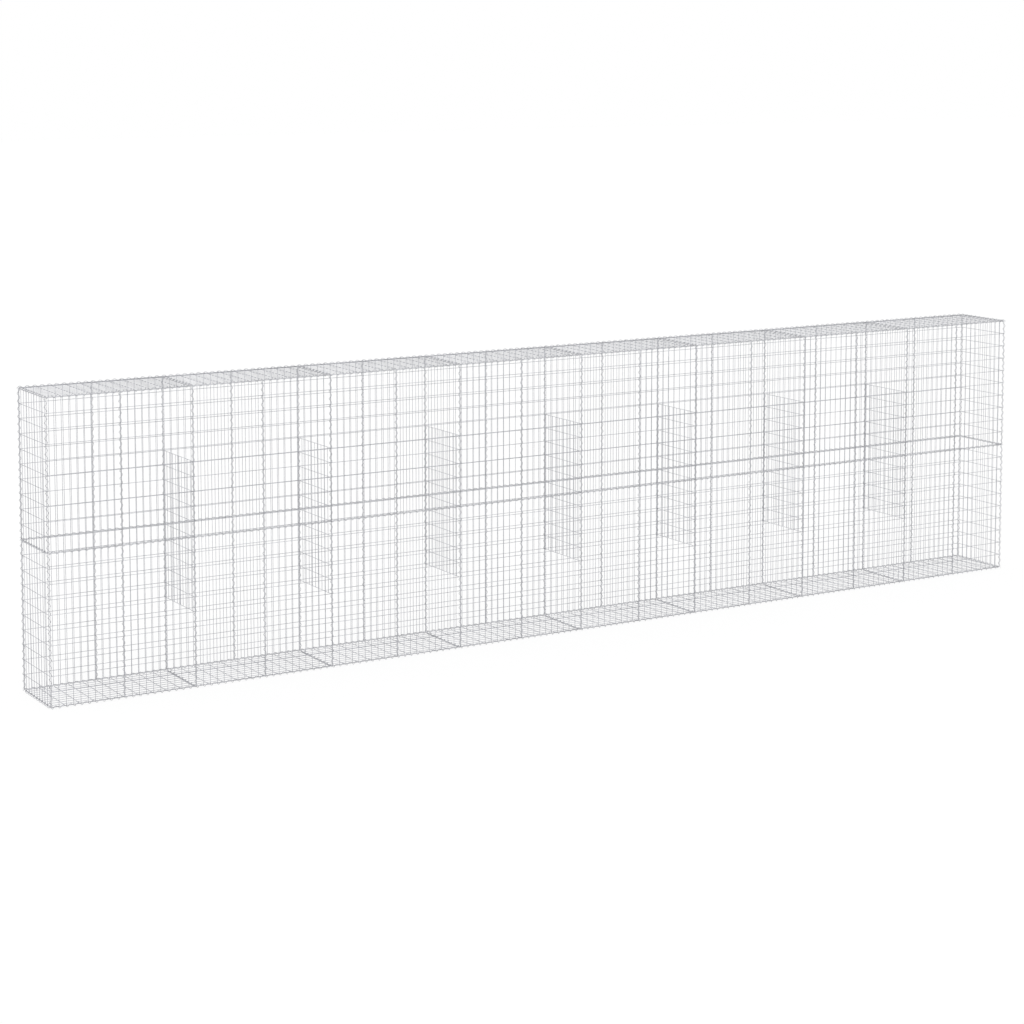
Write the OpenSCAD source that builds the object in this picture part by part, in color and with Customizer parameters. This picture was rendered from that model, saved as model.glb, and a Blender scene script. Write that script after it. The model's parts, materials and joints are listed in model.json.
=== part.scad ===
// Gabion wall basket: welded wire panels laced together with spirals, empty, with its covers on.
// Millimetres, +Z up, length along X, the front face towards -Y. The wall stands on z = 0.

/* [Wall] */
// Number of 1 m bays along the wall
bays = 8; // [1:1:12]
// Length of one bay, which is the long side of one stock panel
bay_length = 1000; // [600:50:1500]
// Depth of the wall, which is the short side of one stock panel
wall_depth = 500; // [300:50:1000]
// Height of one tier of upright panels
tier_height = 1000; // [500:50:1500]

/* [Mesh] */
// Wire thickness
wire = 3.5; // [3:0.5:4.5]
// Cells across the short side of a panel
cells_short = 10; // [2:1:10]
// Cells along the long side of a panel
cells_long = 10; // [2:1:10]

/* [Spirals] */
// Outer width of a spiral
coil = 20; // [18:0.5:24]
// Wire thickness of a spiral
coil_wire = 3; // [2:0.5:4]
// Distance between the modelled turns, a multiple of 100 so that they miss the wires
turn_gap = 400; // [100:100:400]

/* [Hidden] */
length = bays * bay_length;
half_bay = bay_length / 2;
// edge wires stand this far inside a flush joint, a corner, and the faces that a partition meets
flush_in = 2.5;
corner_in = 5.5;
partition_in = 5.5;
// the two layers of wires in a panel stand this far off its plane, so every wire is its own solid
layer_off = 0.01;
// spiral axes lie this far inside the outer mesh planes
axis_in = 1.5;
base_z = coil / 2 - axis_in;
top_z = base_z + 2 * tier_height;
mid_z = base_z + tier_height;
// heights of the spiral axes along the bottom and the top edges
low_axis_z = base_z + axis_in;
high_axis_z = top_z - axis_in;
front_y = -wall_depth / 2;
left_x = -length / 2;
panel_y = wall_depth / 2 - corner_in;
// short spirals stop this far from the axis of the long spiral that they meet
trim = coil / 2 + 2;
// the first modelled turn, which lies midway between two wires
first_turn = 75;

// A flat welded mesh on the XY plane. Its outer wires are centred on the stated rectangle. The
// wires along Y lie above the plane and the others below it if side is 1, and the reverse if -1.
module mesh(x0, x1, y0, y1, nx, ny, side) {
  above = layer_off;
  below = -wire - layer_off;
  for (i = [0 : nx])
    translate([x0 + (x1 - x0) * i / nx - wire / 2, y0 - wire / 2, side > 0 ? above : below])
      cube([wire, y1 - y0 + wire, wire]);
  for (j = [0 : ny])
    translate([x0 - wire / 2, y0 + (y1 - y0) * j / ny - wire / 2, side > 0 ? below : above])
      cube([x1 - x0 + wire, wire, wire]);
}

// The same mesh stood up in the XZ plane at the stated y, with its upright wires facing out.
module upright_mesh(x0, x1, z0, z1, y) {
  translate([0, y, 0]) rotate([90, 0, 0])
    mesh(x0, x1, z0, z1, cells_short, cells_long, -sign(y));
}

// The four upright panels of one bay, on the mesh plane at y.
module bay_face(bay, y) {
  for (half = [0, 1]) {
    a = left_x + bay * bay_length + half * half_bay;
    first = bay == 0 && half == 0;
    last = bay == bays - 1 && half == 1;
    x0 = a + (first ? corner_in : flush_in);
    x1 = a + half_bay - (last ? corner_in : flush_in);
    upright_mesh(x0, x1, base_z + corner_in, mid_z - flush_in, y);
    upright_mesh(x0, x1, mid_z + flush_in, top_z - corner_in, y);
  }
}

// An upright panel across the depth of the wall at x, reaching half to either side. Its upright
// wires face +X if side is 1.
module cross_mesh(x, half, z0, z1, side) {
  translate([x, 0, 0]) rotate([90, 0, 90])
    mesh(-half, half, z0, z1, cells_short, cells_long, side);
}

module end_face(x) {
  cross_mesh(x, panel_y, base_z + corner_in, mid_z - flush_in, sign(x));
  cross_mesh(x, panel_y, mid_z + flush_in, top_z - corner_in, sign(x));
}

// One row of panels lying flat, one to a bay. The wires across the depth face up if side is 1.
module flat_row(z, side) {
  for (bay = [0 : bays - 1]) {
    a = left_x + bay * bay_length;
    x0 = a + (bay == 0 ? corner_in : flush_in);
    x1 = a + bay_length - (bay == bays - 1 ? corner_in : flush_in);
    translate([0, 0, z]) mesh(x0, x1, -panel_y, panel_y, cells_long, cells_short, side);
  }
}

// One turn of a spiral, square, in the YZ plane.
module turn() {
  inner = coil - 2 * coil_wire;
  rotate([90, 0, 90]) linear_extrude(height = coil_wire) difference() {
    square([coil, coil], center = true);
    square([inner, inner], center = true);
  }
}

// A spiral along +X from the origin: turns at the stated places, joined by a straight wire on
// the side away from the mesh, which is -Z here.
module spiral(len, turns) {
  translate([0, -coil_wire / 2, -coil / 2]) cube([len, coil_wire, coil_wire]);
  for (x = turns)
    translate([x - coil_wire / 2, 0, 0]) turn();
}

// Upright spirals of one long side; side is -1 for the front and 1 for the back.
module upright_spirals(side) {
  len = tier_height - 2 * trim;
  for (k = [0 : 2 * bays]) {
    x = k == 0 ? left_x + axis_in : k == 2 * bays ? -left_x - axis_in : left_x + k * half_bay;
    y = side * (wall_depth / 2 - axis_in);
    // lower tier, then upper tier with the turns mirrored
    translate([x, y, base_z + trim]) rotate([0, -90, side * 90])
      spiral(len, [for (t = [first_turn : turn_gap : tier_height - 50]) t - trim]);
    translate([x, y, mid_z + trim]) rotate([0, -90, side * 90])
      spiral(len, [for (t = [first_turn : turn_gap : tier_height - 50]) tier_height - t - trim]);
  }
}

// A spiral over the whole length of the wall, rolled so that its straight wire faces out.
module long_spiral(side, z, roll) {
  translate([left_x + axis_in - coil / 2, side * (wall_depth / 2 - axis_in), z])
    rotate([roll, 0, 0]) spiral(
      length - 2 * axis_in + coil,
      [for (t = [first_turn : turn_gap : length - 50]) t + coil / 2 - axis_in]
    );
}

// The bottom, middle and top spirals of one long side; side is -1 for the front and 1 for the back.
module long_spirals(side) {
  long_spiral(side, low_axis_z, 0);
  long_spiral(side, mid_z, side * 90);
  long_spiral(side, high_axis_z, 180);
}

// A spiral across the depth at x, rolled so that its straight wire faces out.
module cross_spiral(x, z, roll) {
  half = wall_depth / 2 - axis_in - trim;
  step = 2 * panel_y / cells_short;
  translate([x, -half, z]) rotate([0, 0, 90]) rotate([roll, 0, 0])
    spiral(2 * half, [for (i = [0 : 3 : cells_short - 1]) half - panel_y + (i + 0.5) * step]);
}

module end_spirals() {
  color([0.72, 0.73, 0.74]) for (s = [-1, 1]) {
    x = s * (length / 2 - axis_in);
    cross_spiral(x, low_axis_z, 0);
    cross_spiral(x, mid_z, -s * 90);
    cross_spiral(x, high_axis_z, 180);
  }
}

module base_cross_spirals() {
  color([0.72, 0.73, 0.74]) for (k = [1 : bays - 1])
    cross_spiral(left_x + k * bay_length, low_axis_z, 0);
}

module cover_cross_spirals() {
  color([0.72, 0.73, 0.74]) for (k = [1 : bays - 1])
    cross_spiral(left_x + k * bay_length, high_axis_z, 180);
}

module front_long_spirals() { color([0.72, 0.73, 0.74]) long_spirals(-1); }
module back_long_spirals() { color([0.72, 0.73, 0.74]) long_spirals(1); }
module front_upright_spirals() { color([0.72, 0.73, 0.74]) upright_spirals(-1); }
module back_upright_spirals() { color([0.72, 0.73, 0.74]) upright_spirals(1); }

module front_bay_1() { color([0.76, 0.77, 0.78]) bay_face(0, front_y); }
module front_bay_2() { color([0.76, 0.77, 0.78]) bay_face(1, front_y); }
module front_bay_3() { color([0.76, 0.77, 0.78]) bay_face(2, front_y); }
module front_bay_4() { color([0.76, 0.77, 0.78]) bay_face(3, front_y); }
module front_bay_5() { color([0.76, 0.77, 0.78]) bay_face(4, front_y); }
module front_bay_6() { color([0.76, 0.77, 0.78]) bay_face(5, front_y); }
module front_bay_7() { color([0.76, 0.77, 0.78]) bay_face(6, front_y); }
module front_bay_8() { color([0.76, 0.77, 0.78]) bay_face(7, front_y); }
module back_bay_1() { color([0.76, 0.77, 0.78]) bay_face(0, -front_y); }
module back_bay_2() { color([0.76, 0.77, 0.78]) bay_face(1, -front_y); }
module back_bay_3() { color([0.76, 0.77, 0.78]) bay_face(2, -front_y); }
module back_bay_4() { color([0.76, 0.77, 0.78]) bay_face(3, -front_y); }
module back_bay_5() { color([0.76, 0.77, 0.78]) bay_face(4, -front_y); }
module back_bay_6() { color([0.76, 0.77, 0.78]) bay_face(5, -front_y); }
module back_bay_7() { color([0.76, 0.77, 0.78]) bay_face(6, -front_y); }
module back_bay_8() { color([0.76, 0.77, 0.78]) bay_face(7, -front_y); }

module end_left() { color([0.76, 0.77, 0.78]) end_face(left_x); }
module end_right() { color([0.76, 0.77, 0.78]) end_face(-left_x); }
module base_panels() { color([0.76, 0.77, 0.78]) flat_row(base_z, -1); }
module cover_panels() { color([0.76, 0.77, 0.78]) flat_row(top_z, 1); }
module partitions() {
  color([0.76, 0.77, 0.78]) for (k = [1 : bays - 1])
    cross_mesh(
      left_x + k * bay_length,
      wall_depth / 2 - partition_in,
      mid_z - tier_height / 2,
      mid_z + tier_height / 2,
      1
    );
}

front_bay_1();
front_bay_2();
front_bay_3();
front_bay_4();
front_bay_5();
front_bay_6();
front_bay_7();
front_bay_8();
back_bay_1();
back_bay_2();
back_bay_3();
back_bay_4();
back_bay_5();
back_bay_6();
back_bay_7();
back_bay_8();
end_left();
end_right();
base_panels();
cover_panels();
partitions();
front_upright_spirals();
back_upright_spirals();
front_long_spirals();
back_long_spirals();
end_spirals();
base_cross_spirals();
cover_cross_spirals();
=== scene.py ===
# %% [markdown]
# # A gabion wall of welded wire mesh
#
# A gabion is a basket of steel mesh that is filled with stones to make a wall. This one is empty,
# so nothing hides its wire. Stock panels of 1.0 by 0.5 m, with ten cells each way, are stood on
# end along the faces, at the ends and between the bays, and laid flat for the base and the covers.
# Spirals of wire are screwed through the edge cells of neighbouring panels and lace them together.
#
# The measured frame holds a plain version of each piece. Every wire of the mesh is there, but it
# is square, and a spiral is a straight wire with a few square turns. Here each piece is replaced
# by round wires and true spirals. The planes of the mesh are read from that frame, so the two
# agree.

# %% Load the frame
import bpy
import bmesh
import json
import math
from mathutils import Matrix, Vector


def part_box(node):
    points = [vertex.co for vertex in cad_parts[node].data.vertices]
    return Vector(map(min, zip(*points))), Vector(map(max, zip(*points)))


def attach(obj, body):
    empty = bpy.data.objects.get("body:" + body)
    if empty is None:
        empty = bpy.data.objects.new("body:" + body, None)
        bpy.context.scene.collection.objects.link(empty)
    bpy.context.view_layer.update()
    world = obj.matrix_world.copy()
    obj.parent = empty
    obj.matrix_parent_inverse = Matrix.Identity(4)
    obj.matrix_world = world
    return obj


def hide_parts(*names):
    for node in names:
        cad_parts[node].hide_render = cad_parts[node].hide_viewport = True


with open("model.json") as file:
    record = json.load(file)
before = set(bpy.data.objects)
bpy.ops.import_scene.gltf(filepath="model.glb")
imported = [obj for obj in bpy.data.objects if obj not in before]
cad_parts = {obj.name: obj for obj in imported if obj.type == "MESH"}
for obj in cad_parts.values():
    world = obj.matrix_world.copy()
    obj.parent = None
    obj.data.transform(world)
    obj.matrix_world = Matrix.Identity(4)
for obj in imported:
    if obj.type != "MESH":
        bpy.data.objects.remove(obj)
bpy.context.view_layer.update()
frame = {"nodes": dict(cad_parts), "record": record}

print("frame nodes:", len(frame["nodes"]))

# %% [markdown]
# ## Where the joints are
#
# Every joint of the wall lies where two mesh planes meet or where two panels stand side by side.
# The planes could be typed in as numbers, but then a change of the design would leave them
# behind. They are read from the frame's own boxes, and the joints are spaced evenly between them.

# %% Planes and joints
def plane(node, axis):
    low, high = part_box(node)
    return (low[axis] + high[axis]) / 2

X, Y, Z = 0, 1, 2
FRONT_Y = plane("front_bay_1", Y)
BACK_Y = plane("back_bay_1", Y)
LEFT_X = plane("end_left", X)
RIGHT_X = plane("end_right", X)
BASE_Z = plane("base_panels", Z)
TOP_Z = plane("cover_panels", Z)
BAYS = sum(name.startswith("front_bay_") for name in frame["nodes"])

MID_Z = (BASE_Z + TOP_Z) / 2
BAY = (RIGHT_X - LEFT_X) / BAYS
TIER = MID_Z - BASE_Z
DEPTH = BACK_Y - FRONT_Y
print(f"bays {BAYS} of {BAY:.3f} m, tier {TIER:.3f} m, depth {DEPTH:.3f} m")

# %% [markdown]
# ## Sizes of the wire
#
# The mesh is 3.5 mm wire with a cell of 50 by 100 mm, and the spirals are 3 mm wire with one turn
# every 50 mm. A panel is made a little smaller than its bay, so that two edge wires fit side by
# side inside one spiral. How wide a spiral is, and how far inside the mesh its axis runs, is read
# from the frame.

# %% Wire sizes
MM = 0.001
WIRE = 3.5 * MM
LAYER = 1.4 * MM            # each layer of wires is this far off the panel's plane
OVERHANG = 0.5 * MM         # wire ends stand this far past the edge wire's centre
CELLS = 10                  # each way in a panel
FLUSH_IN = 2.5 * MM         # edge wire to a flush joint
CORNER_IN = 5.5 * MM        # edge wire to a corner
PARTITION_IN = 5.5 * MM     # partition's edge wire to the front and back planes

upright_low, upright_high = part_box("front_upright_spirals")
COIL = upright_high[Y] - upright_low[Y]
COIL_WIRE = 3 * MM
COIL_RADIUS = (COIL - COIL_WIRE) / 2
AXIS_IN = plane("front_upright_spirals", Y) - FRONT_Y
PITCH = 50 * MM
END_ROOM = 2 * MM           # keeps the ends of a spiral off the spiral that it meets
SPIRAL_TRIM = COIL / 2 + END_ROOM
print(f"spiral {COIL / MM:.1f} mm across, axis {AXIS_IN / MM:.1f} mm inside the mesh")

# %% [markdown]
# ## The camera
#
# The wall is long and low, and is seen from its left end and from above with a fairly long lens.
# The camera tilts down only a few degrees, and the rest of the way down is a shift of the frame,
# as on an architect's camera. A full tilt would make the uprights lean much more. The camera is
# made first, because all that follows is judged through it.

# %% Camera
LENS = 84.87                # mm
SHIFT_DOWN = 0.235          # as a share of the frame
FAR_CLIP = 200
CAMERA_PLACE = (-9.2, -14.647, 4.264)
TILT = 84.443               # degrees up from straight down
HEADING = -30.913           # degrees, and less than 0 is to the right

def make_camera():
    data = bpy.data.cameras.new("camera")
    data.lens = LENS
    data.shift_y = -SHIFT_DOWN
    data.clip_end = FAR_CLIP
    camera = bpy.data.objects.new("camera", data)
    camera.location = CAMERA_PLACE
    camera.rotation_euler = (math.radians(TILT), 0, math.radians(HEADING))
    bpy.context.scene.collection.objects.link(camera)
    bpy.context.scene.camera = camera
    return camera

camera = make_camera()
print("camera lens", camera.data.lens, "mm")

# %% [markdown]
# ## Working on one object at a time
#
# Blender's operators act on all that is selected, so a leftover selection spoils the next step.
# These small helpers clear it first, apply a modifier, and bake an object's place into its mesh
# so that the object itself ends at the origin.

# %% Helpers for selecting and applying
def only(*objects):
    bpy.ops.object.select_all(action="DESELECT")
    for item in objects:
        item.select_set(True)
    bpy.context.view_layer.objects.active = objects[0]

def apply_modifiers(item):
    only(item)
    for name in [modifier.name for modifier in item.modifiers]:
        bpy.ops.object.modifier_apply(modifier=name)

def bake_place(item):
    only(item)
    bpy.ops.object.transform_apply(location=True, rotation=True, scale=True)

def join(items, name):
    only(*items)
    if len(items) > 1:
        bpy.ops.object.join()
    joined = bpy.context.view_layer.objects.active
    joined.name = name
    joined.data.name = name
    return joined

# %% [markdown]
# ## One straight wire
#
# A wire of the mesh is drawn steel rod, cut by a shear, so its ends are flat with a slightly
# softened rim. A curve with a round bevel would do, but its ends stay open unless they are
# capped. A cylinder is closed from the start, and its two end rims are easy to pick by the way
# the faces point. Only the two end faces are picked and no face is ever unpicked, since
# unpicking a side would let go of the rim edges that it shares with an end. Eight sides are
# enough for a wire that repeats many times.

# %% A wire with softened ends
WIRE_SIDES = 8
RIM = 0.5 * MM

def make_wire(length, name):
    bpy.ops.object.select_all(action="DESELECT")
    bpy.ops.mesh.primitive_cylinder_add(vertices=WIRE_SIDES, radius=WIRE / 2, depth=length)
    wire = bpy.context.view_layer.objects.active
    wire.name = name
    bpy.ops.object.mode_set(mode="EDIT")
    bpy.ops.mesh.select_all(action="DESELECT")
    mesh = bmesh.from_edit_mesh(wire.data)
    for face in mesh.faces:
        points_along_wire = abs(face.normal.z) > 0.5
        if points_along_wire:
            face.select_set(True)
    bmesh.update_edit_mesh(wire.data)
    bpy.ops.mesh.bevel(offset=RIM, segments=1, affect="EDGES")
    bpy.ops.object.mode_set(mode="OBJECT")
    return wire

sample = make_wire(DEPTH, "sample_wire")
print("one wire has", len(sample.data.polygons), "faces")
bpy.data.objects.remove(sample)

# %% [markdown]
# ## One panel
#
# The panel is two layers of wires that cross at a right angle, welded wherever they touch. It
# could be cut from a sheet, but then the wires would be square and lie in one plane. Here each
# layer is one wire and an Array modifier. The layers sink a little into each other, as the weld
# makes them do: its current melts the two wires together.
#
# Every size of panel is made once, kept out of the scene, and copied. A panel beside a corner is a
# few millimetres narrower than one between two flush joints.

# %% Panels of every size
QUARTER_TURN = math.pi / 2
ROUND_BELOW = math.radians(50)      # edges sharper than this stay crisp
SAME_SIZE_DIGITS = 6                # sizes in metres that agree so far are one size

panel_shop = {}

def wire_row(length, span, along, level, name):
    """Wires of that length, spread over that span, pointing along Y or along X."""
    wire = make_wire(length, name)
    turn = (QUARTER_TURN, 0, 0) if along == "Y" else (0, QUARTER_TURN, 0)
    start = (-span / 2, 0, level) if along == "Y" else (0, -span / 2, level)
    step = (span / CELLS, 0, 0) if along == "Y" else (0, span / CELLS, 0)
    wire.rotation_euler = turn
    wire.location = start
    bake_place(wire)
    array = wire.modifiers.new("row", "ARRAY")
    array.count = CELLS + 1
    array.use_relative_offset = False
    array.use_constant_offset = True
    array.constant_offset_displace = step
    apply_modifiers(wire)
    return wire

def make_panel(width, height):
    """A flat panel about the origin. Its long wires run along Y, in the upper layer."""
    key = (round(width, SAME_SIZE_DIGITS), round(height, SAME_SIZE_DIGITS))
    if key not in panel_shop:
        long_wires = wire_row(height + 2 * OVERHANG, width, "Y", LAYER, "long_wires")
        cross_wires = wire_row(width + 2 * OVERHANG, height, "X", -LAYER, "cross_wires")
        master = join([long_wires, cross_wires], f"panel_{len(panel_shop)}")
        bpy.ops.object.shade_smooth_by_angle(angle=ROUND_BELOW)
        for collection in master.users_collection:
            collection.objects.unlink(master)
        panel_shop[key] = master
    return panel_shop[key]

def place_panel(width, height, turn, place):
    """A copy of that panel with its own mesh, turned and put in its place."""
    master = make_panel(width, height)
    copy = master.copy()
    copy.data = master.data.copy()
    bpy.context.scene.collection.objects.link(copy)
    copy.data.transform(Matrix.Translation(place) @ turn)
    return copy

make_panel(BAY / 2 - 2 * FLUSH_IN, TIER - FLUSH_IN - CORNER_IN)
print("panel faces:", len(next(iter(panel_shop.values())).data.polygons))

# %% [markdown]
# ## Which way the panels face
#
# A fitter hangs the panels with the long wires outside. Each face of the wall turns the flat
# panel in its own way, and a turn matrix says it once for all the panels of that face.

# %% Turns of each face
def spin(degrees, axis):
    return Matrix.Rotation(math.radians(degrees), 4, axis)

TO_FRONT = spin(90, "X")
TO_BACK = spin(180, "Z") @ TO_FRONT
TO_LEFT = spin(-90, "Z") @ TO_FRONT
TO_RIGHT = spin(90, "Z") @ TO_FRONT
TO_BASE = spin(-90, "Z")
TO_COVER = spin(180, "X") @ TO_BASE
print("turns ready for 6 faces")

# %% [markdown]
# ## The two long faces
#
# Each bay has four panels on each face: two side by side in the lower tier, and two above them.
# They are joined to one piece a bay, because spirals hold them edge to edge for good.

# %% Front and back bays
pieces = {}

def tier_spans():
    """Low and high edge of the panels in each tier."""
    return [(BASE_Z + CORNER_IN, MID_Z - FLUSH_IN), (MID_Z + FLUSH_IN, TOP_Z - CORNER_IN)]

def half_bay_span(step):
    """Left and right edge of the upright panel number step, counted from the left end."""
    left_gap = CORNER_IN if step == 0 else FLUSH_IN
    right_gap = CORNER_IN if step == 2 * BAYS - 1 else FLUSH_IN
    left = LEFT_X + step * BAY / 2
    return left + left_gap, left + BAY / 2 - right_gap

def make_face_bay(name, bay, y, turn):
    panels = []
    for step in (2 * bay, 2 * bay + 1):
        left, right = half_bay_span(step)
        for low, high in tier_spans():
            place = Vector(((left + right) / 2, y, (low + high) / 2))
            panels.append(place_panel(right - left, high - low, turn, place))
    pieces[name] = join(panels, name + "_mesh")

for bay in range(BAYS):
    make_face_bay(f"front_bay_{bay + 1}", bay, FRONT_Y, TO_FRONT)
    make_face_bay(f"back_bay_{bay + 1}", bay, BACK_Y, TO_BACK)
print("face bays:", len(pieces))

# %% [markdown]
# ## The ends
#
# Each end of the wall is one panel wide and two tiers high.

# %% End panels
def make_end(name, x, turn):
    width = DEPTH - 2 * CORNER_IN
    panels = []
    for low, high in tier_spans():
        panels.append(place_panel(width, high - low, turn, Vector((x, 0, (low + high) / 2))))
    pieces[name] = join(panels, name + "_mesh")

make_end("end_left", LEFT_X, TO_LEFT)
make_end("end_right", RIGHT_X, TO_RIGHT)
print("ends:", [name for name in pieces if name.startswith("end_")])

# %% [markdown]
# ## Base and covers
#
# The same panels lie flat, one to a bay. The covers are turned over, so that on both the long
# wires are on the inside, where they press on the stones.

# %% Flat panels
def make_flat_row(name, z, turn):
    panels = []
    for bay in range(BAYS):
        left = LEFT_X + bay * BAY + (CORNER_IN if bay == 0 else FLUSH_IN)
        right = LEFT_X + (bay + 1) * BAY - (CORNER_IN if bay == BAYS - 1 else FLUSH_IN)
        place = Vector(((left + right) / 2, 0, z))
        panels.append(place_panel(DEPTH - 2 * CORNER_IN, right - left, turn, place))
    pieces[name] = join(panels, name + "_mesh")

make_flat_row("base_panels", BASE_Z, TO_BASE)
make_flat_row("cover_panels", TOP_Z, TO_COVER)

# %% [markdown]
# ## The partitions
#
# At every joint between two bays a panel stands across the wall. It is one panel tall and hangs
# at half height, half in each tier, where it ties the front to the back against the push of the
# stones.

# %% Partitions
def make_partitions():
    width = DEPTH - 2 * PARTITION_IN
    panels = []
    for joint in range(1, BAYS):
        place = Vector((LEFT_X + joint * BAY, 0, MID_Z))
        panels.append(place_panel(width, TIER, TO_RIGHT, place))
    pieces["partitions"] = join(panels, "partitions_mesh")

make_partitions()
print("partitions at z", round(MID_Z - TIER / 2, 3), "to", round(MID_Z + TIER / 2, 3))

# %% [markdown]
# ## One spiral
#
# A spiral is wire wound on a mandrel and pulled out to one turn in 50 mm, so that it can be
# screwed through the meshes like a corkscrew. It could be a curve, but a Screw modifier makes
# it straight from a small circle: the circle is turned about the axis while it moves along it.
#
# The modifier cuts the wire in a plane through the axis, where a wire that climbs looks stretched.
# So the circle is stretched along the axis first, by the length of one turn over its run around.

# %% The spiral maker
COIL_SIDES = 6
STEPS_A_TURN = 12
COIL_ROUND_BELOW = math.radians(70)
FULL_TURN = 2 * math.pi
RUN_AROUND = FULL_TURN * COIL_RADIUS
SLANT = math.hypot(RUN_AROUND, PITCH) / RUN_AROUND

def cap_ends(item):
    """Close the two open ends of a tube and turn every face outwards."""
    only(item)
    bpy.ops.object.mode_set(mode="EDIT")
    bpy.ops.mesh.select_all(action="SELECT")
    bpy.ops.mesh.fill_holes(sides=COIL_SIDES)
    bpy.ops.mesh.normals_make_consistent(inside=False)
    bpy.ops.object.mode_set(mode="OBJECT")

def make_spiral(start, end, first_turn):
    """A spiral on the local X axis from start to end. Its wire is furthest to the local +Y side
    at first_turn, and again at every pitch from there."""
    bpy.ops.object.select_all(action="DESELECT")
    bpy.ops.mesh.primitive_circle_add(vertices=COIL_SIDES, radius=COIL_WIRE / 2)
    spiral = bpy.context.view_layer.objects.active
    bpy.ops.object.mode_set(mode="EDIT")
    bpy.ops.mesh.select_all(action="SELECT")
    bpy.ops.transform.resize(value=(SLANT, 1, 1), center_override=(0, 0, 0))
    bpy.ops.transform.translate(value=(0, COIL_RADIUS, 0))
    bpy.ops.object.mode_set(mode="OBJECT")
    turns = (end - start) / PITCH
    screw = spiral.modifiers.new("wind", "SCREW")
    screw.axis = "X"
    screw.angle = turns * FULL_TURN
    screw.screw_offset = end - start
    screw.iterations = 1
    screw.steps = round(turns * STEPS_A_TURN)
    screw.render_steps = screw.steps
    screw.use_merge_vertices = False
    apply_modifiers(spiral)
    cap_ends(spiral)
    bpy.ops.object.shade_smooth_by_angle(angle=COIL_ROUND_BELOW)
    phase = Matrix.Rotation((start - first_turn) / PITCH * FULL_TURN, 4, "X")
    spiral.data.transform(Matrix.Translation((start, 0, 0)) @ phase)
    return spiral

sample = make_spiral(0, 2 * PITCH, PITCH / 2)
reach = max(vertex.co.z for vertex in sample.data.vertices)
print(f"sample spiral: {len(sample.data.polygons)} faces, reaches {reach / MM:.2f} mm")
bpy.data.objects.remove(sample)

# %% [markdown]
# ## Putting spirals in place
#
# Each spiral has a direction to run in and a side that faces the inside of the wall. Those two
# directions make a turn matrix, so no angle has to be worked out by hand.

# %% Placing helper
RUN_X = Vector((1, 0, 0))
RUN_Y = Vector((0, 1, 0))
RUN_Z = Vector((0, 0, 1))

def place_spiral(master, origin, run, inward):
    """A copy of a spiral laid along run from origin, with its local +Y side facing inward."""
    side = run.cross(inward)
    turn = Matrix((run, inward, side)).transposed().to_4x4()
    copy = master.copy()
    copy.data = master.data.copy()
    bpy.context.scene.collection.objects.link(copy)
    copy.data.transform(Matrix.Translation(origin) @ turn)
    return copy

def collect(copies, master, name):
    """Join the copies to one piece and put the master away."""
    pieces[name] = join(copies, name + "_coils")
    bpy.data.objects.remove(master)

# %% [markdown]
# ## Upright spirals
#
# Half a bay apart, and one for each tier, they lace the upright panels side by side. The ones at
# the four corners lace a long face to an end.

# %% Upright spirals
def make_upright_spirals(name, y, inward):
    master = make_spiral(SPIRAL_TRIM, TIER - SPIRAL_TRIM, PITCH / 2)
    copies = []
    for joint in range(2 * BAYS + 1):
        x = LEFT_X + joint * BAY / 2
        x = min(max(x, LEFT_X + AXIS_IN), RIGHT_X - AXIS_IN)
        for floor_z in (BASE_Z, MID_Z):
            copies.append(place_spiral(master, Vector((x, y, floor_z)), RUN_Z, inward))
    collect(copies, master, name)

make_upright_spirals("front_upright_spirals", FRONT_Y + AXIS_IN, RUN_Y)
make_upright_spirals("back_upright_spirals", BACK_Y - AXIS_IN, -RUN_Y)
print("upright spiral faces:", len(pieces["front_upright_spirals"].data.polygons))

# %% [markdown]
# ## Long spirals
#
# Three run the whole length of each long face: along the base, between the two tiers, and along
# the covers. The middle one is what makes the line across the wall at half height.

# %% Long spirals
LOW_AXIS_Z = BASE_Z + AXIS_IN
HIGH_AXIS_Z = TOP_Z - AXIS_IN
HALF_SLICE = COIL_WIRE / 2 * SLANT      # half the length of the cut face, along the spiral

def make_long_spirals(name, y, inward):
    reach_past = COIL / 2 - AXIS_IN - HALF_SLICE
    master = make_spiral(-reach_past, BAYS * BAY + reach_past, PITCH / 2)
    copies = []
    for z in (LOW_AXIS_Z, MID_Z, HIGH_AXIS_Z):
        copies.append(place_spiral(master, Vector((LEFT_X, y, z)), RUN_X, inward))
    collect(copies, master, name)

make_long_spirals("front_long_spirals", FRONT_Y + AXIS_IN, RUN_Y)
make_long_spirals("back_long_spirals", BACK_Y - AXIS_IN, -RUN_Y)
print("long spiral faces:", len(pieces["front_long_spirals"].data.polygons))

# %% [markdown]
# ## Spirals across the depth
#
# Short spirals lace the ends to the base, to the covers and between the tiers, and lace each base
# panel and each cover to the next one.

# %% Short spirals
def make_cross_spirals(name, stations):
    """Each station is an x, a z and the direction that faces the inside of the wall."""
    half = DEPTH / 2 - AXIS_IN - SPIRAL_TRIM
    master = make_spiral(-half, half, PITCH / 2)
    copies = []
    for x, z, inward in stations:
        copies.append(place_spiral(master, Vector((x, 0, z)), RUN_Y, inward))
    collect(copies, master, name)

end_stations = []
for x, inward in ((LEFT_X + AXIS_IN, RUN_X), (RIGHT_X - AXIS_IN, -RUN_X)):
    for z in (LOW_AXIS_Z, MID_Z, HIGH_AXIS_Z):
        end_stations.append((x, z, inward))
joints_x = [LEFT_X + joint * BAY for joint in range(1, BAYS)]

make_cross_spirals("end_spirals", end_stations)
make_cross_spirals("base_cross_spirals", [(x, LOW_AXIS_Z, RUN_Z) for x in joints_x])
make_cross_spirals("cover_cross_spirals", [(x, HIGH_AXIS_Z, -RUN_Z) for x in joints_x])
print("pieces:", len(pieces))

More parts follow.
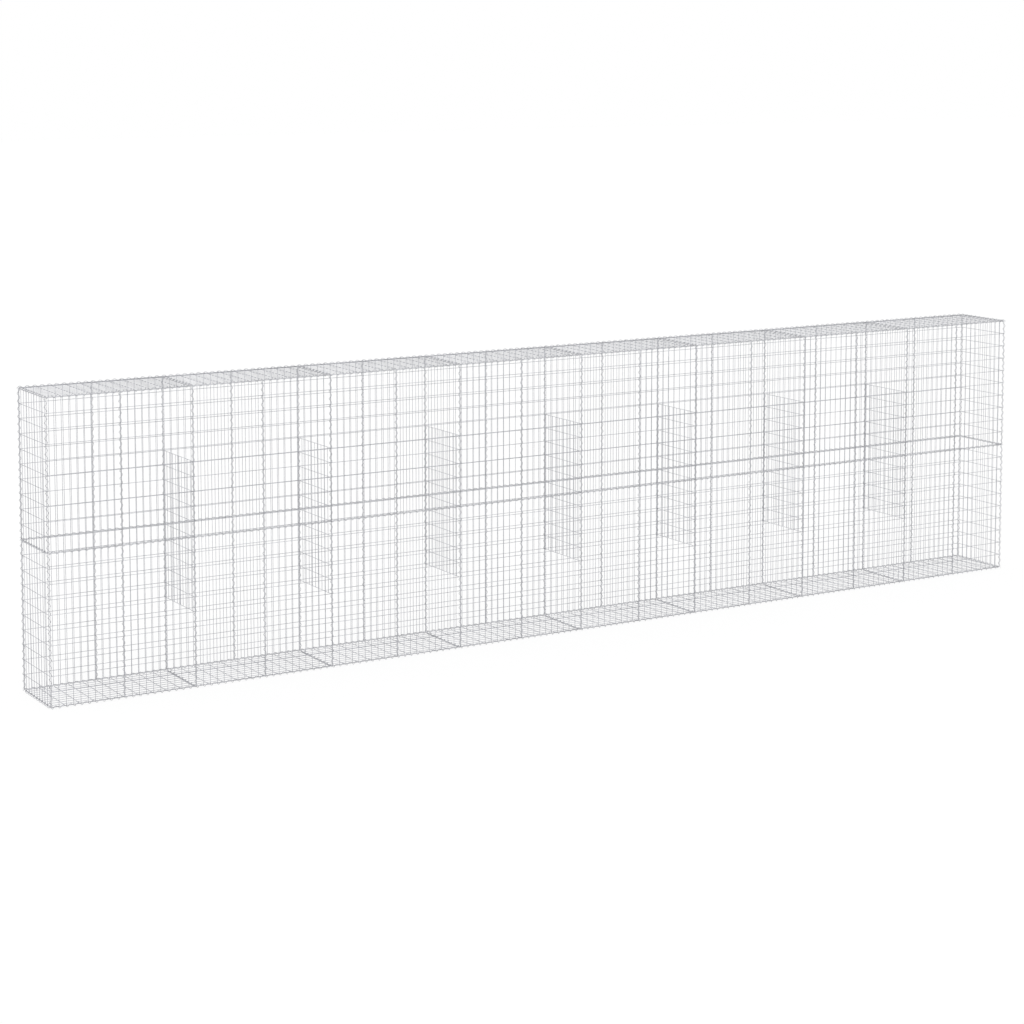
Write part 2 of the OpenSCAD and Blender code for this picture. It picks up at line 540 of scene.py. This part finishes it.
# %% [markdown]
# ## The zinc on the wire
#
# The wire is dipped in molten zinc. Fresh zinc is bright, and weather turns it to a pale, even
# grey. It shows small crystals and a faint unevenness. A plain metal would be one flat tone. Here
# a Voronoi texture makes the crystals, and a wide noise shifts the colour with them. A fine noise
# drives the roughness and the bump. The helpers below add and join the nodes for that.

# %% Node helpers
RAMP_START = 0.3            # most of the mixed tone lies between these two
RAMP_END = 0.7

def node_link(tree, source, target):
    tree.links.new(source, target)

def noise_node(tree, coordinates, scale, detail):
    node = tree.nodes.new("ShaderNodeTexNoise")
    node.inputs["Scale"].default_value = scale
    node.inputs["Detail"].default_value = detail
    node_link(tree, coordinates, node.inputs["Vector"])
    return node

def ramp_node(tree, factor, dark, light):
    node = tree.nodes.new("ShaderNodeValToRGB")
    node.color_ramp.elements[0].position = RAMP_START
    node.color_ramp.elements[1].position = RAMP_END
    node.color_ramp.elements[0].color = (*dark, 1)
    node.color_ramp.elements[1].color = (*light, 1)
    node_link(tree, factor, node.inputs["Fac"])
    return node

print("ramps run from", RAMP_START, "to", RAMP_END)

# %% [markdown]
# ## Two shades of zinc
#
# One recipe gives both finishes, so that they look like one metal. The spirals are wound from
# wire that already has its zinc, and are made a shade duller than the mesh. The zinc isn't set to
# full metal, because weathered zinc is partly a dull white crust that scatters light.

# %% Zinc finishes
CLOUD_SCALE = 9             # patches about 100 mm across
GRAIN_SCALE = 420           # grains of 2 to 3 mm
CRYSTAL_SCALE = 260         # crystals of about 4 mm
CLOUD_DETAIL = 4
GRAIN_DETAIL = 3
CRYSTAL_SHARE = 0.4         # of the tone; the clouds give the rest
GRAIN_STRENGTH = 0.25
GRAIN_HEIGHT = 0.2 * MM
METAL_SHARE = 0.85

def make_zinc(name, dark, light, roughness_low, roughness_high):
    material = bpy.data.materials.new(name)
    material.use_nodes = True
    tree = material.node_tree
    shader = tree.nodes["Principled BSDF"]
    place = tree.nodes.new("ShaderNodeTexCoord").outputs["Object"]
    cloud = noise_node(tree, place, CLOUD_SCALE, CLOUD_DETAIL)
    grain = noise_node(tree, place, GRAIN_SCALE, GRAIN_DETAIL)
    crystals = tree.nodes.new("ShaderNodeTexVoronoi")
    crystals.inputs["Scale"].default_value = CRYSTAL_SCALE
    node_link(tree, place, crystals.inputs["Vector"])
    tone = tree.nodes.new("ShaderNodeMix")
    tone.data_type = "FLOAT"
    tone.inputs["Factor"].default_value = CRYSTAL_SHARE
    node_link(tree, cloud.outputs["Fac"], tone.inputs["A"])
    node_link(tree, crystals.outputs["Color"], tone.inputs["B"])
    colour = ramp_node(tree, tone.outputs["Result"], dark, light)
    node_link(tree, colour.outputs["Color"], shader.inputs["Base Color"])
    rough = tree.nodes.new("ShaderNodeMapRange")
    rough.inputs["To Min"].default_value = roughness_low
    rough.inputs["To Max"].default_value = roughness_high
    node_link(tree, grain.outputs["Fac"], rough.inputs["Value"])
    node_link(tree, rough.outputs["Result"], shader.inputs["Roughness"])
    bump = tree.nodes.new("ShaderNodeBump")
    bump.inputs["Strength"].default_value = GRAIN_STRENGTH
    bump.inputs["Distance"].default_value = GRAIN_HEIGHT
    node_link(tree, grain.outputs["Fac"], bump.inputs["Height"])
    node_link(tree, bump.outputs["Normal"], shader.inputs["Normal"])
    shader.inputs["Metallic"].default_value = METAL_SHARE
    return material

mesh_zinc = make_zinc(
    "mesh_zinc",
    dark=(0.41, 0.415, 0.44),
    light=(0.56, 0.565, 0.595),
    roughness_low=0.38,
    roughness_high=0.58,
)
spiral_zinc = make_zinc(
    "spiral_zinc",
    dark=(0.34, 0.345, 0.365),
    light=(0.50, 0.505, 0.53),
    roughness_low=0.42,
    roughness_high=0.62,
)
print("finishes:", mesh_zinc.name, spiral_zinc.name)

# %% [markdown]
# ## Fixing the pieces to the frame
#
# Nothing on the wall moves, so every piece rides on the one body. Each stands for the plain piece
# of the same name, and takes the finish that the record gives to that piece.

# %% Ride, replace and finish
slot_of = {part["node"]: part["material_slot"] for part in frame["record"]["subparts"]}
zinc_of = {"mesh_wire": mesh_zinc, "spiral_wire": spiral_zinc}

for node, piece in pieces.items():
    piece.data.materials.clear()
    piece.data.materials.append(zinc_of[slot_of[node]])
    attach(piece, "root")
    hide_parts(node)

# the panels that were only copied from are not part of the wall
for master in panel_shop.values():
    bpy.data.objects.remove(master)
print("nodes left plain:", sorted(set(frame["nodes"]) - set(pieces)))

# %% [markdown]
# ## The floor
#
# The wall stands on a pale floor that runs out into a white surround. The floor is lit from
# within, like a light table, because on a plain white floor the wires of the base darken what
# they lie close above. Floor and surround both come to a brightness of just about 1. If they were
# brighter, they would swallow the wires, which look very thin from afar.

# %% Floor
FLOOR_SIZE = 160
FLOOR_GREY = 0.15
FLOOR_GLOW = 0.82

def make_floor():
    bpy.ops.object.select_all(action="DESELECT")
    bpy.ops.mesh.primitive_plane_add(size=FLOOR_SIZE, location=(0, 0, 0))
    floor = bpy.context.view_layer.objects.active
    floor.name = "floor"
    material = bpy.data.materials.new("floor_white")
    material.use_nodes = True
    shader = material.node_tree.nodes["Principled BSDF"]
    shader.inputs["Base Color"].default_value = (FLOOR_GREY, FLOOR_GREY, FLOOR_GREY, 1)
    shader.inputs["Roughness"].default_value = 1
    shader.inputs["Specular IOR Level"].default_value = 0
    shader.inputs["Emission Color"].default_value = (1, 1, 1, 1)
    shader.inputs["Emission Strength"].default_value = FLOOR_GLOW
    floor.data.materials.append(material)

make_floor()
print("floor", FLOOR_SIZE, "m across")

# %% [markdown]
# ## The light
#
# The white surround gives most of the light, as a studio's white tent does, and it alone would
# leave the wires looking flat. Area lamps could round them, but on a wall 8 m long the near end
# comes out brighter than the far end. Two wide, weak suns do it evenly, since their rays are the
# same everywhere. Both shine from the left, because a level wire throws light from the right
# straight at the camera.

# %% Suns and surround
SUN_SPREAD = math.radians(40)
KEY_TOWARDS = (0.45, 0.7, -1.0)
KEY_STRENGTH = 0.9
RIM_TOWARDS = (0.6, -0.5, -0.9)
RIM_STRENGTH = 0.3
SURROUND_STRENGTH = 1

def make_sun(name, towards, strength):
    data = bpy.data.lights.new(name, "SUN")
    data.energy = strength
    data.angle = SUN_SPREAD
    sun = bpy.data.objects.new(name, data)
    sun.rotation_euler = Vector(towards).to_track_quat("-Z", "Y").to_euler()
    bpy.context.scene.collection.objects.link(sun)

def make_surround(strength):
    world = bpy.data.worlds.new("surround")
    world.use_nodes = True
    background = world.node_tree.nodes["Background"]
    background.inputs["Color"].default_value = (1, 1, 1, 1)
    background.inputs["Strength"].default_value = strength
    bpy.context.scene.world = world

make_sun("key_sun", KEY_TOWARDS, KEY_STRENGTH)
make_sun("rim_sun", RIM_TOWARDS, RIM_STRENGTH)
make_surround(SURROUND_STRENGTH)
bpy.context.scene.view_settings.view_transform = "Standard"
